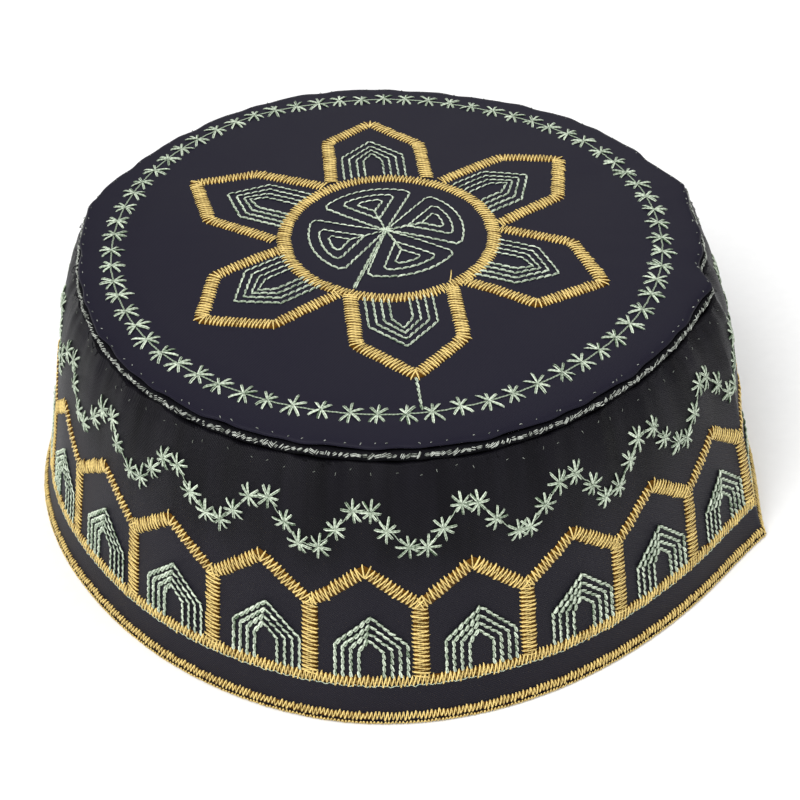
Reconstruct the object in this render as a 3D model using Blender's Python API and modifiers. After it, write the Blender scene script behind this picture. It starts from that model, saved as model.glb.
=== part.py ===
"""Prayer cap: a soft round cap of dark twill that rests on its rim.

It is a flat round crown, a rolled welt along the crown's seam, a flaring side band and a bound rim.
Lengths are metres, +Z is up, +Y points to the back, and the origin lies under the middle of the cap.
"""

from collections import namedtuple
import math

import bmesh
import bpy
from mathutils import Vector

CAP_NAME = "prayer_cap"

# Outline of the rim on the floor and of the seam between band and crown, as half widths and half depths
RIM_HALF_WIDTH = 0.0966
RIM_HALF_DEPTH = 0.0947
SEAM_HALF_WIDTH = 0.0766
SEAM_HALF_DEPTH = 0.0787

# Heights above the floor
SEAM_HEIGHT = 0.0678
CROWN_RISE = 0.0053

# Cloth, welt and binding. WELT_TUCK says how far the welt's middle lies inside the seam, in its radii.
CROWN_CLOTH = 0.0018
BAND_CLOTH = 0.0019
GATHER_DEPTH = 0.0013
WELT_DIAMETER = 0.0026
WELT_TUCK = 0.4
BINDING_HEIGHT = 0.0032
BINDING_THICKNESS = 0.0030
BINDING_PROUD = 0.0005
BINDING_ROUNDING = 0.0007

# Room left between neighbouring pieces
GAP = 0.0003

# Fineness of the meshes
DIVISIONS = 120
WELT_BEVEL_RESOLUTION = 2
SHARP_EDGE_DEG = 50.0

# Folds that run from rim to seam. Angles turn anticlockwise from +X, and -90 is the front.
# rim and seam are outward shares of RIM_HALF_WIDTH and SEAM_HALF_WIDTH, and negative ones are dents.
Fold = namedtuple("Fold", "name rim_deg seam_deg rim_spread_deg seam_spread_deg rim seam pointed")
FOLDS = (
    Fold("right_corner", -21.0, -15.5, 7.3, 8.4, 0.063, 0.042, True),
    Fold("right_tuck", -10.0, -10.0, 5.0, 3.4, 0.000, -0.028, False),
    Fold("back_right_corner", 17.0, 17.0, 6.3, 6.3, 0.000, 0.046, True),
    Fold("back_flat", 84.0, 75.0, 26.0, 24.0, -0.010, -0.050, False),
    Fold("left_corner", 168.0, 165.0, 18.0, 17.0, 0.004, 0.057, True),
    Fold("front_left_flat", -144.0, -142.0, 25.0, 22.0, -0.022, 0.005, False),
    Fold("front_bulge", -95.0, -95.0, 19.0, 20.0, 0.015, -0.005, False),
    Fold("front_right_flat", -50.0, -52.0, 22.0, 22.0, -0.018, -0.015, False),
)

# Flank of the band: share of the seam's height, and how far the outline has gone from rim to seam there
WallSection = namedtuple("WallSection", "height toward_seam")
WALL_SECTIONS = (
    WallSection(0.00, 0.000),
    WallSection(0.20, 0.200),
    WallSection(0.40, 0.340),
    WallSection(0.60, 0.490),
    WallSection(0.80, 0.640),
    WallSection(0.92, 0.806),
    WallSection(1.00, 1.000),
)

# Soft pleats where the band is gathered into the seam, as shares of GATHER_DEPTH, deepest at the seam
Gather = namedtuple("Gather", "angle_deg spread_deg depth")
GATHERS = (
    Gather(-172.0, 4.0, 0.8),
    Gather(-159.0, 4.5, 1.0),
    Gather(-146.0, 3.5, 0.6),
    Gather(-133.0, 4.5, 1.0),
    Gather(-120.0, 4.0, 0.7),
    Gather(-108.0, 3.5, 0.6),
    Gather(-96.0, 4.0, 0.9),
    Gather(-83.0, 4.5, 1.0),
    Gather(-70.0, 4.0, 0.9),
    Gather(-60.0, 3.5, 0.7),
    Gather(-49.0, 4.5, 1.0),
    Gather(-37.0, 4.0, 0.7),
    Gather(-26.0, 3.5, 0.9),
    Gather(0.0, 4.0, 1.0),
    Gather(30.0, 4.5, 0.8),
    Gather(45.0, 4.0, 0.6),
    Gather(59.0, 4.5, 1.0),
    Gather(75.0, 4.0, 0.7),
    Gather(90.0, 4.5, 0.9),
    Gather(105.0, 4.0, 0.6),
    Gather(119.0, 4.5, 1.0),
    Gather(134.0, 4.0, 0.8),
    Gather(150.0, 4.5, 0.9),
)
# Height where they begin, as a share of the seam's, and how proud the cloth stands between them
GATHER_START = 0.45
GATHER_FULLNESS = 0.40

# Crown from its middle to its turned-down edge: share of the edge's radius, and share of the edge's drop
CrownSection = namedtuple("CrownSection", "reach drop")
CROWN_SECTIONS = (
    CrownSection(0.500, 0.16),
    CrownSection(0.800, 0.41),
    CrownSection(0.910, 0.52),
    CrownSection(0.960, 0.62),
    CrownSection(0.987, 0.74),
    CrownSection(1.000, 0.88),
    CrownSection(1.000, 1.00),
)
# How many of these rings, from the middle outwards, the crown's underside repeats
CROWN_UNDERSIDE_RINGS = 3

# Heights of the band's rings as shares of the band's own height
BAND_OUTER_RINGS = (0.0, 0.15, 0.33, 0.50, 0.65, 0.77, 0.86, 0.94, 1.0)
BAND_INNER_RINGS = (1.0, 0.90, 0.77, 0.60, 0.33, 0.0)

Finish = namedtuple("Finish", "name colour roughness")
CROWN_TWILL = Finish("crown_twill", (0.022, 0.021, 0.030, 1.0), 0.55)
BAND_TWILL = Finish("band_twill", (0.027, 0.026, 0.037, 1.0), 0.50)
SEAM_CLOTH = Finish("seam_cloth", (0.012, 0.012, 0.014, 1.0), 0.70)
GOLD_BINDING = Finish("gold_binding", (0.570, 0.330, 0.090, 1.0), 0.45)

WELT_RADIUS = WELT_DIAMETER / 2
BAND_BOTTOM = BINDING_HEIGHT + GAP
BAND_TOP = SEAM_HEIGHT - WELT_RADIUS - GAP
CROWN_TOP = SEAM_HEIGHT + CROWN_RISE
CROWN_EDGE_BOTTOM = SEAM_HEIGHT + WELT_RADIUS + GAP
WELT_INSET = WELT_TUCK * WELT_RADIUS


def clear_scene():
    """Remove every object of the opened scene."""
    for thing in list(bpy.data.objects):
        bpy.data.objects.remove(thing, do_unlink=True)


def make_material(finish):
    """Return a Principled material with the finish's colour and roughness."""
    material = bpy.data.materials.new(finish.name)
    material.use_nodes = True
    shader = material.node_tree.nodes["Principled BSDF"]
    shader.inputs["Base Color"].default_value = finish.colour
    shader.inputs["Roughness"].default_value = finish.roughness
    shader.inputs["Metallic"].default_value = 0.0
    return material


def angle_between(first_deg, second_deg):
    """Return the signed difference of two angles in degrees, between -180 and 180."""
    return (first_deg - second_deg + 180.0) % 360.0 - 180.0


def bump(offset_deg, spread_deg, pointed):
    """Return a fold's height from 0 to 1 at an angle from its crest."""
    reach = offset_deg / spread_deg
    return math.exp(-abs(reach)) if pointed else math.exp(-reach * reach)


def ellipse_radius(half_width, half_depth, angle):
    """Return the radius of an ellipse at an angle in radians."""
    return 1.0 / math.hypot(math.cos(angle) / half_width, math.sin(angle) / half_depth)


def rim_radius(angle):
    """Return the radius of the rim's outline, folds included, at an angle in radians."""
    turn = math.degrees(angle)
    folded = sum(
        fold.rim * bump(angle_between(turn, fold.rim_deg), fold.rim_spread_deg, fold.pointed)
        for fold in FOLDS
    )
    return ellipse_radius(RIM_HALF_WIDTH, RIM_HALF_DEPTH, angle) + RIM_HALF_WIDTH * folded


def seam_radius(angle):
    """Return the radius of the seam's outline, folds included, at an angle in radians."""
    turn = math.degrees(angle)
    folded = sum(
        fold.seam * bump(angle_between(turn, fold.seam_deg), fold.seam_spread_deg, fold.pointed)
        for fold in FOLDS
    )
    return ellipse_radius(SEAM_HALF_WIDTH, SEAM_HALF_DEPTH, angle) + SEAM_HALF_WIDTH * folded


def toward_seam(height):
    """Return how far the flank has gone from the rim's outline to the seam's at a height."""
    share = min(max(height / SEAM_HEIGHT, 0.0), 1.0)
    for lower, upper in zip(WALL_SECTIONS, WALL_SECTIONS[1:]):
        if share <= upper.height:
            part = (share - lower.height) / (upper.height - lower.height)
            return lower.toward_seam + part * (upper.toward_seam - lower.toward_seam)
    return 1.0


def gather_depth(angle, height):
    """Return how deep the pleats cut into the band at an angle and a height, negative between them."""
    rise = (height / SEAM_HEIGHT - GATHER_START) / (1.0 - GATHER_START)
    if rise <= 0.0:
        return 0.0
    turn = math.degrees(angle)
    cut = sum(
        gather.depth * bump(angle_between(turn, gather.angle_deg), gather.spread_deg, False)
        for gather in GATHERS
    )
    return GATHER_DEPTH * (cut - GATHER_FULLNESS) * rise * rise


def wall_radius(angle, height):
    """Return the radius of the band's outer face at an angle and a height."""
    share = toward_seam(height)
    radius = (1.0 - share) * rim_radius(angle) + share * seam_radius(angle)
    return radius - gather_depth(angle, height)


def outline(radius_at):
    """Return the plan points of a closed outline, with a radius function of the angle."""
    points = []
    for index in range(DIVISIONS):
        angle = 2.0 * math.pi * index / DIVISIONS
        points.append(Vector((math.cos(angle), math.sin(angle), 0.0)) * radius_at(angle))
    return points


def rim_middle():
    """Return the middle of the rim's extent in plan, which becomes the model's origin."""
    points = outline(rim_radius)
    low = Vector([min(point[axis] for point in points) for axis in range(3)])
    high = Vector([max(point[axis] for point in points) for axis in range(3)])
    return (low + high) / 2


MIDDLE = rim_middle()


def ring(radius_at, height):
    """Return the points of one ring, with a radius function of the angle, at a height."""
    return [point - MIDDLE + Vector((0.0, 0.0, height)) for point in outline(radius_at)]


def loft(rings, tips=None):
    """Return a closed mesh through rings, ending in a point at both tips or running on into the first ring.

    Faces look outwards where the rings climb an outer side, and towards the hollow where they come down an
    inner one.
    """
    shape = bmesh.new()
    rows = [[shape.verts.new(point) for point in points] for points in rings]
    pairs = list(zip(rows, rows[1:]))
    if tips is None:
        pairs.append((rows[-1], rows[0]))
    else:
        first, last = (shape.verts.new(tip) for tip in tips)
    for index in range(DIVISIONS):
        following = (index + 1) % DIVISIONS
        for lower, upper in pairs:
            shape.faces.new((lower[index], lower[following], upper[following], upper[index]))
        if tips is not None:
            shape.faces.new((rows[0][following], rows[0][index], first))
            shape.faces.new((rows[-1][index], rows[-1][following], last))
    mesh = bpy.data.meshes.new("loft")
    shape.to_mesh(mesh)
    shape.free()
    return mesh


def add_piece(name, data, finish, collection):
    """Add one named object with its own material to the collection."""
    piece = bpy.data.objects.new(name, data)
    data.name = name
    data.materials.append(make_material(finish))
    collection.objects.link(piece)
    return piece


def shade_round(mesh):
    """Shade a mesh smooth and keep its real edges sharp."""
    mesh.shade_smooth()
    mesh.set_sharp_from_angle(angle=math.radians(SHARP_EDGE_DEG))


def build_crown(collection):
    """Make the domed round top panel, whose edge turns down to the welt."""
    edge_drop = CROWN_TOP - CROWN_EDGE_BOTTOM
    top = [
        ring(lambda angle, reach=row.reach: reach * seam_radius(angle), CROWN_TOP - row.drop * edge_drop)
        for row in CROWN_SECTIONS
    ]
    underside = [
        [point - Vector((0.0, 0.0, CROWN_CLOTH)) for point in points]
        for points in top[:CROWN_UNDERSIDE_RINGS]
    ]
    hem = ring(lambda angle: seam_radius(angle) - CROWN_CLOTH, CROWN_EDGE_BOTTOM)
    peak = Vector((0.0, 0.0, CROWN_TOP)) - MIDDLE
    mesh = loft(underside + [hem] + top[::-1], tips=(peak - Vector((0.0, 0.0, CROWN_CLOTH)), peak))
    shade_round(mesh)
    return add_piece("crown_top", mesh, CROWN_TWILL, collection)


def build_welt(collection):
    """Make the rolled cloth welt along the seam, as a round tube on a closed path."""
    curve = bpy.data.curves.new("welt", "CURVE")
    curve.dimensions = "3D"
    curve.bevel_depth = WELT_RADIUS
    curve.bevel_resolution = WELT_BEVEL_RESOLUTION
    path = curve.splines.new("POLY")
    path.points.add(DIVISIONS - 1)
    centres = ring(lambda angle: seam_radius(angle) - WELT_INSET, SEAM_HEIGHT)
    for point, centre in zip(path.points, centres):
        point.co = (*centre, 1.0)
    path.use_cyclic_u = True
    path.use_smooth = True
    return add_piece("crown_welt", curve, SEAM_CLOTH, collection)


def build_band(collection):
    """Make the flaring side band with its folds and gathers, from the binding up to the welt."""
    band_height = BAND_TOP - BAND_BOTTOM
    rings = []
    for faces, inset in ((BAND_OUTER_RINGS, 0.0), (BAND_INNER_RINGS, BAND_CLOTH)):
        for share in faces:
            height = BAND_BOTTOM + share * band_height
            rings.append(ring(lambda angle, z=height, cut=inset: wall_radius(angle, z) - cut, height))
    mesh = loft(rings)
    shade_round(mesh)
    return add_piece("side_band", mesh, BAND_TWILL, collection)


def build_binding(collection):
    """Make the bound rim, a flat-bottomed ring with rounded edges that the cap rests on."""
    outer = [(0.0, BINDING_PROUD), (BINDING_HEIGHT, BINDING_PROUD)]
    inner = [(height, proud - BINDING_THICKNESS) for height, proud in reversed(outer)]
    rings = [
        ring(lambda angle, z=height, out=proud: wall_radius(angle, z) + out, height)
        for height, proud in outer + inner
    ]
    mesh = loft(rings)
    shade_round(mesh)
    binding = add_piece("rim_binding", mesh, GOLD_BINDING, collection)
    rounding = binding.modifiers.new("rounding", "BEVEL")
    rounding.width = BINDING_ROUNDING
    rounding.segments = 1
    rounding.limit_method = "ANGLE"
    rounding.angle_limit = math.radians(SHARP_EDGE_DEG)
    return binding


def main():
    """Build the cap's pieces in their own collection."""
    clear_scene()
    collection = bpy.data.collections.new(CAP_NAME)
    bpy.context.scene.collection.children.link(collection)
    build_crown(collection)
    build_welt(collection)
    build_band(collection)
    build_binding(collection)


main()
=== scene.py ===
"""Looks of a soft prayer cap: dark twill, gold and pale green machine embroidery, a whip-stitched seam and a hem.

Shapes and stitches are worked out in millimetres and turned into metres as meshes are made. +Z is up, the
photographed front looks toward -Y, and angles turn anticlockwise from +X, seen from above.
"""

from dataclasses import dataclass, field
from enum import Enum
from functools import cached_property
import logging
import math
from typing import NamedTuple, Sequence

import bpy
from mathutils import Euler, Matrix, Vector
import numpy as np


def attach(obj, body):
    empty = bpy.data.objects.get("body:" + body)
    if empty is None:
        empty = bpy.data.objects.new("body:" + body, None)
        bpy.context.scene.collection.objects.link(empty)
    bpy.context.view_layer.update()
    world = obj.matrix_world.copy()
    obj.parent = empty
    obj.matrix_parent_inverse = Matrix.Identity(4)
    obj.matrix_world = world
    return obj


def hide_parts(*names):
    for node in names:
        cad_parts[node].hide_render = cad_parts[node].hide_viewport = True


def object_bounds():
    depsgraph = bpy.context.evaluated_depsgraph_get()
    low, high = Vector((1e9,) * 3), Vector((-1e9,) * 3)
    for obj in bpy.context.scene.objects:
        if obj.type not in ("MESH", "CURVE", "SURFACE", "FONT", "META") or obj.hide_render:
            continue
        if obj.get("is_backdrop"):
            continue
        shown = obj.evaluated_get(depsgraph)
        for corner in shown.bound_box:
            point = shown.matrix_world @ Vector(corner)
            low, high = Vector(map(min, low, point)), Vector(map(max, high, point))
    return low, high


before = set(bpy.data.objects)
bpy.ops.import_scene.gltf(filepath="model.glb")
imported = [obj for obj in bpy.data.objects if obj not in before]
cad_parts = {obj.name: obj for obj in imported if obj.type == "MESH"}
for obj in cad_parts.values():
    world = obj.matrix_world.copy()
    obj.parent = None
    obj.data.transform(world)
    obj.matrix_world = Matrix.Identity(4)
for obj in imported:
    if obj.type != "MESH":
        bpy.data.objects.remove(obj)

Array = np.ndarray
Points = Sequence[tuple[float, float]] | Array
Colour = tuple[float, float, float]
Socket = bpy.types.NodeSocket

LOG = logging.getLogger("prayer_cap")
MM = 0.001
TURN = 2.0 * math.pi


class Fold(NamedTuple):
    """A fold from rim to seam. rim and seam are outward shares of the half widths, and negative ones are dents."""

    rim_deg: float
    seam_deg: float
    rim_spread_deg: float
    seam_spread_deg: float
    rim: float
    seam: float
    pointed: bool


FOLDS = (
    Fold(-21.0, -15.5, 7.3, 8.4, 0.063, 0.042, True),
    Fold(-10.0, -10.0, 5.0, 3.4, 0.000, -0.028, False),
    Fold(17.0, 17.0, 6.3, 6.3, 0.000, 0.046, True),
    Fold(84.0, 75.0, 26.0, 24.0, -0.010, -0.050, False),
    Fold(168.0, 165.0, 18.0, 17.0, 0.004, 0.057, True),
    Fold(-144.0, -142.0, 25.0, 22.0, -0.022, 0.005, False),
    Fold(-95.0, -95.0, 19.0, 20.0, 0.015, -0.005, False),
    Fold(-50.0, -52.0, 22.0, 22.0, -0.018, -0.015, False),
)

# Pleats where the band is gathered into the seam: direction and spread in degrees, share of the gather depth
GATHERS = (
    (-172.0, 4.0, 0.8), (-159.0, 4.5, 1.0), (-146.0, 3.5, 0.6), (-133.0, 4.5, 1.0), (-120.0, 4.0, 0.7),
    (-108.0, 3.5, 0.6), (-96.0, 4.0, 0.9), (-83.0, 4.5, 1.0), (-70.0, 4.0, 0.9), (-60.0, 3.5, 0.7),
    (-49.0, 4.5, 1.0), (-37.0, 4.0, 0.7), (-26.0, 3.5, 0.9), (0.0, 4.0, 1.0), (30.0, 4.5, 0.8),
    (45.0, 4.0, 0.6), (59.0, 4.5, 1.0), (75.0, 4.0, 0.7), (90.0, 4.5, 0.9), (105.0, 4.0, 0.6),
    (119.0, 4.5, 1.0), (134.0, 4.0, 0.8), (150.0, 4.5, 0.9),
)

# Flank of the band: share of the seam's height, and how far the outline has gone from rim to seam there
WALL_SECTIONS = ((0.0, 0.0), (0.2, 0.2), (0.4, 0.34), (0.6, 0.49), (0.8, 0.64), (0.92, 0.806), (1.0, 1.0))

# Crown from its middle to its turned-down edge: share of the edge's radius, and share of the edge's drop
CROWN_SECTIONS = (
    (0.0, 0.0), (0.5, 0.16), (0.8, 0.41), (0.91, 0.52), (0.96, 0.60), (0.986, 0.67), (1.0, 0.76), (1.0, 0.88),
    (0.986, 1.0),
)

# Small unevenness as sine waves: waves in a radian or a millimetre, phase and weight
PUCKER_WAVES = ((71, 0.4, 1.0), (113, 2.1, 0.7), (43, 4.0, 0.5))
SWELL_WAVES = ((53, 0.9, 1.0), (89, 2.7, 0.6))
LUMP_WAVES = ((37, 0.0, 1.0), (23, 1.0, 0.8), (61, 0.0, 0.5))
LOOP_WAVES = ((3.3, 0.0, 0.20), (1.23, 1.0, 0.14))

# Stitches from end to end: share of the way, lift, width, and for the last two the shift sideways. Lifts and
# widths are shares of the thread, but lifts of whip stitches, specks and pricks are in millimetres
STROKE = np.array([[0.0, 0.10, 0.5, 0.90, 1.0], [-0.22, 0.55, 0.85, 0.55, -0.22], [0.75, 1.0, 1.05, 1.0, 0.75]])
WHIP = np.array([[-0.5, -0.38, 0.0, 0.38, 0.5], [-0.12, 0.12, 0.17, 0.12, -0.12], [0.65, 0.95, 1.05, 0.95, 0.65]])
SPECK = np.array([[-0.5, -0.25, 0.25, 0.5], [-0.1, 0.06, 0.06, -0.1], [1.0, 1.0, 1.0, 1.0]])
PRICK = np.array([[-0.5, -0.3, 0.3, 0.5], [-0.10, 0.10, 0.10, -0.10], [1.0, 1.0, 1.0, 1.0]])
LINK = np.array([
    [-0.03, 0.22, 0.55, 0.85, 1.03], [-0.02, 0.36, 0.42, 0.28, -0.04], [0.26, 0.46, 0.52, 0.44, 0.24],
    [0.05, 0.85, 1.0, 0.7, 0.0],
])
ARM = np.array([[0.02, 0.30, 0.75, 1.0], [1.1, 1.1, 0.8, -0.15], [0.8, 1.05, 1.1, 0.8], [0.22, 0.44, 0.56, 0.42]])


def unit(vectors: Array) -> Array:
    """Return vectors of length one."""
    return vectors / np.linalg.norm(vectors, axis=-1, keepdims=True)


def bearing(angles: Array | float) -> Array:
    """Return plan directions at angles in radians."""
    return np.stack([np.cos(angles), np.sin(angles)], axis=-1)


def leftward(directions: Array) -> Array:
    """Return directions turned a quarter to the left."""
    return np.stack([-directions[..., 1], directions[..., 0]], axis=-1)


def lifted(plan: Array, height: Array | float) -> Array:
    """Return plan points with heights as their third measure."""
    return np.concatenate([plan, np.broadcast_to(height, plan.shape[:-1])[..., None]], axis=-1)


def ripple(places: Array, waves: Sequence[tuple[float, float, float]]) -> Array:
    """Return the sum of sine waves at places."""
    return sum(weight * np.sin(count * places + phase) for count, phase, weight in waves)


def distances(points: Array) -> Array:
    """Return the distance walked to each point of a bent line."""
    return np.r_[0.0, np.cumsum(np.linalg.norm(np.diff(points, axis=0), axis=1))]


def follow(distance: Array, steps: Array, points: Array) -> Array:
    """Return places on a bent line whose points are reached after given steps."""
    return np.stack([np.interp(distance, steps, points[:, axis]) for axis in (0, 1)], axis=-1)


def rounded_line(points: Points, count: int, window: int) -> Array:
    """Walk a bent line in even steps and round its corners, with both ends kept.

    Args:
        points: Corners of the line.
        count: How many points come back.
        window: How many of them one corner is rounded over.

    Returns:
        The points, one row each.
    """
    corners = np.array(points, dtype=float)
    walked = distances(corners)
    line = follow(np.linspace(0.0, walked[-1], count), walked, corners)
    weights = np.hanning(window + 2)[1:-1]
    padded = np.pad(line, ((window // 2, window // 2), (0, 0)), mode="reflect", reflect_type="odd")
    return np.column_stack([np.convolve(padded[:, axis], weights / weights.sum(), "valid") for axis in (0, 1)])


def dashes(centres: Array, turns: Array, reach: Array, aside: Array | float = 0.0) -> Array:
    """Work out straight threads.

    Args:
        centres: Where each starts or has its middle, one row each or one for all.
        turns: Direction of each in radians.
        reach: How far each point lies ahead.
        aside: How far each point lies to the left.

    Returns:
        Points of the threads, threads by points by two.
    """
    ahead = bearing(turns)[:, None]
    return np.atleast_2d(centres)[:, None] + ahead * reach[..., None] + leftward(ahead) * np.asarray(aside)[..., None]


@dataclass(frozen=True)
class CapForm:
    """The cap's outer shape, with the sizes and formulas that its solids have, in millimetres."""

    rim_half_width: float = 96.6
    rim_half_depth: float = 94.7
    seam_half_width: float = 76.6
    seam_half_depth: float = 78.7
    seam_height: float = 67.8
    crown_rise: float = 5.3
    crown_cloth: float = 1.8
    band_cloth: float = 1.9
    welt_diameter: float = 2.6
    welt_tuck: float = 0.4
    hem_height: float = 3.2
    hem_thickness: float = 3.0
    hem_proud: float = 0.5
    gap: float = 0.3
    gather_depth: float = 1.3
    gather_start: float = 0.45
    gather_fullness: float = 0.40
    pucker_depth: float = 0.30
    pucker_reach: float = 6.0
    sway: float = 0.22
    slack: float = 0.16
    tightness: float = 0.22

    @property
    def crown_top(self) -> float:
        """Height of the crown's middle."""
        return self.seam_height + self.crown_rise

    @cached_property
    def turns(self) -> Array:
        """Angles, in radians, at which the outlines are tabulated."""
        return np.radians(np.linspace(-180.0, 180.0, 3601))

    def reach(self, middle_deg: float, spread_deg: float) -> Array:
        """Return how many spreads every tabulated angle lies from a direction."""
        return ((np.degrees(self.turns) - middle_deg + 180.0) % 360.0 - 180.0) / spread_deg

    def outline(self, half_width: float, half_depth: float, folds: list[tuple[float, float, float, bool]]) -> Array:
        """Fold an oval.

        Args:
            half_width: Half of its width.
            half_depth: Half of its depth.
            folds: Direction, spread, outward share of the half width, and whether pointed.

        Returns:
            Its radius at every tabulated angle.
        """
        total = np.zeros_like(self.turns)
        for middle, spread, share, pointed in folds:
            reach = self.reach(middle, spread)
            total += share * np.exp(-np.abs(reach) if pointed else -(reach**2))
        oval = 1.0 / np.hypot(np.cos(self.turns) / half_width, np.sin(self.turns) / half_depth)
        return oval + half_width * total

    @cached_property
    def rim_table(self) -> Array:
        """Radius of the rim's outline at every tabulated angle."""
        folds = [(fold.rim_deg, fold.rim_spread_deg, fold.rim, fold.pointed) for fold in FOLDS]
        return self.outline(self.rim_half_width, self.rim_half_depth, folds)

    @cached_property
    def seam_table(self) -> Array:
        """Radius of the seam's outline at every tabulated angle."""
        folds = [(fold.seam_deg, fold.seam_spread_deg, fold.seam, fold.pointed) for fold in FOLDS]
        return self.outline(self.seam_half_width, self.seam_half_depth, folds)

    @cached_property
    def gather_table(self) -> Array:
        """Cut of the pleats at every tabulated angle, negative between them."""
        pleats = (depth * np.exp(-(self.reach(middle, spread) ** 2)) for middle, spread, depth in GATHERS)
        return sum(pleats, np.full_like(self.turns, -self.gather_fullness))

    @cached_property
    def middle(self) -> Array:
        """Middle of the rim's extent in plan, which is the model's origin."""
        angles = np.arange(120) * TURN / 120
        plan = self.at_angle(self.rim_table, angles)[:, None] * bearing(angles)
        return (plan.min(axis=0) + plan.max(axis=0)) / 2

    @cached_property
    def wall_line(self) -> Array:
        """Rounded flank of the band: share of the seam's height, and share of the way from rim to seam."""
        return rounded_line(WALL_SECTIONS, 401, 41)

    @cached_property
    def crown_line(self) -> Array:
        """Rounded profile of the crown's top: share of the edge's radius, and drop under the middle."""
        edge = np.array([self.seam_half_width, self.crown_rise - self.welt_diameter / 2 - self.gap])
        line = rounded_line(np.array(CROWN_SECTIONS) * edge, 901, 19)
        return line / np.array([line[:, 0].max(), 1.0])

    def at_angle(self, table: Array, angles: Array) -> Array:
        """Return a table's values at angles in radians."""
        return np.interp((angles + math.pi) % TURN - math.pi, self.turns, table)

    def plan(self, angles: Array, radius: Array) -> Array:
        """Return plan points at angles and radii, with the origin at the cap's middle."""
        return radius[..., None] * bearing(angles) - self.middle

    def seam_radius(self, angles: Array) -> Array:
        """Return the seam's radius at angles."""
        return self.at_angle(self.seam_table, angles)

    def puckers(self, angles: Array, heights: Array | float) -> Array:
        """Return how far the whip stitches' small puckers stand out just under the seam."""
        pucker_fade_and_seam_shade = np.exp(-np.abs(self.seam_height - heights) / self.pucker_reach)
        return self.pucker_depth * pucker_fade_and_seam_shade * ripple(angles, PUCKER_WAVES) / 1.6

    def wall_radius(self, angles: Array, heights: Array | float) -> Array:
        """Work out the band's outer face.

        Args:
            angles: Angles in radians.
            heights: Heights above the floor.

        Returns:
            The radius about the outlines' own centre.
        """
        share = np.interp(heights / self.seam_height, self.wall_line[:, 0], self.wall_line[:, 1])
        radius = (1.0 - share) * self.at_angle(self.rim_table, angles) + share * self.seam_radius(angles)
        rise = np.clip((heights / self.seam_height - self.gather_start) / (1.0 - self.gather_start), 0.0, None)
        pleats = self.gather_depth * self.at_angle(self.gather_table, angles) * rise**2
        sway = self.sway * np.sin(11 * angles + 1.3) * np.sin(math.pi * heights / self.seam_height)
        return radius - pleats + sway + self.puckers(angles, heights)

    def wall(self, angles: Array, heights: Array | float, out: Array | float = 0.0) -> Array:
        """Return points on the band's outer face, or some way outside it."""
        return lifted(self.plan(angles, self.wall_radius(angles, heights) + out), heights)

    def crown_height(self, reach: Array) -> Array:
        """Return the height of the crown's top at shares of the edge's radius."""
        flat = self.crown_line[: np.argmax(self.crown_line[:, 0])]
        return self.crown_top - np.interp(reach, flat[:, 0], flat[:, 1])

    def crown_relief(self, plan: Array) -> Array:
        """Work out how the crown stands up where its cloth is slack and dips at its tight stitches.

        Args:
            plan: Plan points about the outlines' own centre.

        Returns:
            The height of the relief at each.
        """
        across, along = plan[..., 0], plan[..., 1]
        radius = np.hypot(across, along)
        slack = np.sin(across / 8.3 + 0.6) * np.sin(along / 10.7 + 1.9) + 0.6 * np.sin((across - along) / 6.1)
        tight = sum(np.exp(-(((radius - ring) / spread) ** 2)) for ring, spread in ((26.3, 2.4), (68.4, 2.6)))
        return (self.slack * slack - self.tightness * tight) * np.clip((74.0 - radius) / 8.0, 0.0, 1.0)


FORM = CapForm()


class Line:
    """A bent line of the pattern that is walked by distance."""

    def __init__(self, points: Points) -> None:
        """Keep the corners and the distance to each."""
        self.corners = np.array(points, dtype=float)
        self.steps = distances(self.corners)

    @property
    def length(self) -> float:
        """Distance from the first corner to the last."""
        return float(self.steps[-1])

    def at(self, distance: Array) -> Array:
        """Return points at distances along the line."""
        return follow(distance, self.steps, self.corners)

    def heading(self, distance: Array, reach: float) -> Array:
        """Return directions along the line, turned evenly round its corners over a reach."""
        return unit(self.at(distance + reach) - self.at(distance - reach))


@dataclass
class Face:
    """A face of the cap that threads lie on, with two measures in the pattern's own millimetres."""

    form: CapForm

    def point(self, across: Array, along: Array) -> Array:
        """Return the points of the face at its two measures."""
        raise NotImplementedError

    def frame(self, across: Array, along: Array, step: float = 0.25) -> tuple[Array, Array]:
        """Find where threads lie.

        Args:
            across: First measure, anticlockwise round the cap or toward +X on the crown.
            along: Second measure, up the band or toward +Y on the crown.
            step: How far to either side the slope is felt.

        Returns:
            The points of the face and its outward directions there.
        """
        aside = self.point(across + step, along) - self.point(across - step, along)
        ahead = self.point(across, along + step) - self.point(across, along - step)
        return self.point(across, along), unit(np.cross(aside, ahead))


@dataclass
class RoundFace(Face):
    """A face that runs round the cap, its first measure walked from the front at one height."""

    @cached_property
    def plan(self) -> Array:
        """Plan line of the walk at every tabulated angle."""
        raise NotImplementedError

    @cached_property
    def walk(self) -> Array:
        """Distance round the cap from the front at every tabulated angle."""
        steps = distances(self.plan)
        return steps - np.interp(-math.pi / 2, self.form.turns, steps)

    @property
    def length(self) -> float:
        """The whole way round."""
        return float(self.walk[-1] - self.walk[0])

    def angle(self, across: Array) -> Array:
        """Return angles in radians at distances round the cap."""
        start = self.walk[0]
        return np.interp((across - start) % self.length + start, self.walk, self.form.turns)

    def level(self, along: float) -> Line:
        """Return the line right round the cap at one height."""
        return Line([(0.0, along), (self.length, along)])


@dataclass
class BandFace(RoundFace):
    """The band's outer face: distance round the cap at the baseline, and height above the floor."""

    baseline: float = 11.6

    @cached_property
    def plan(self) -> Array:
        """Plan line of the band at the height of its baseline stitches."""
        return self.form.wall(self.form.turns, self.baseline)[:, :2]

    def point(self, across: Array, along: Array) -> Array:
        """Return points of the band's outer face."""
        return self.form.wall(self.angle(across), along)


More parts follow.
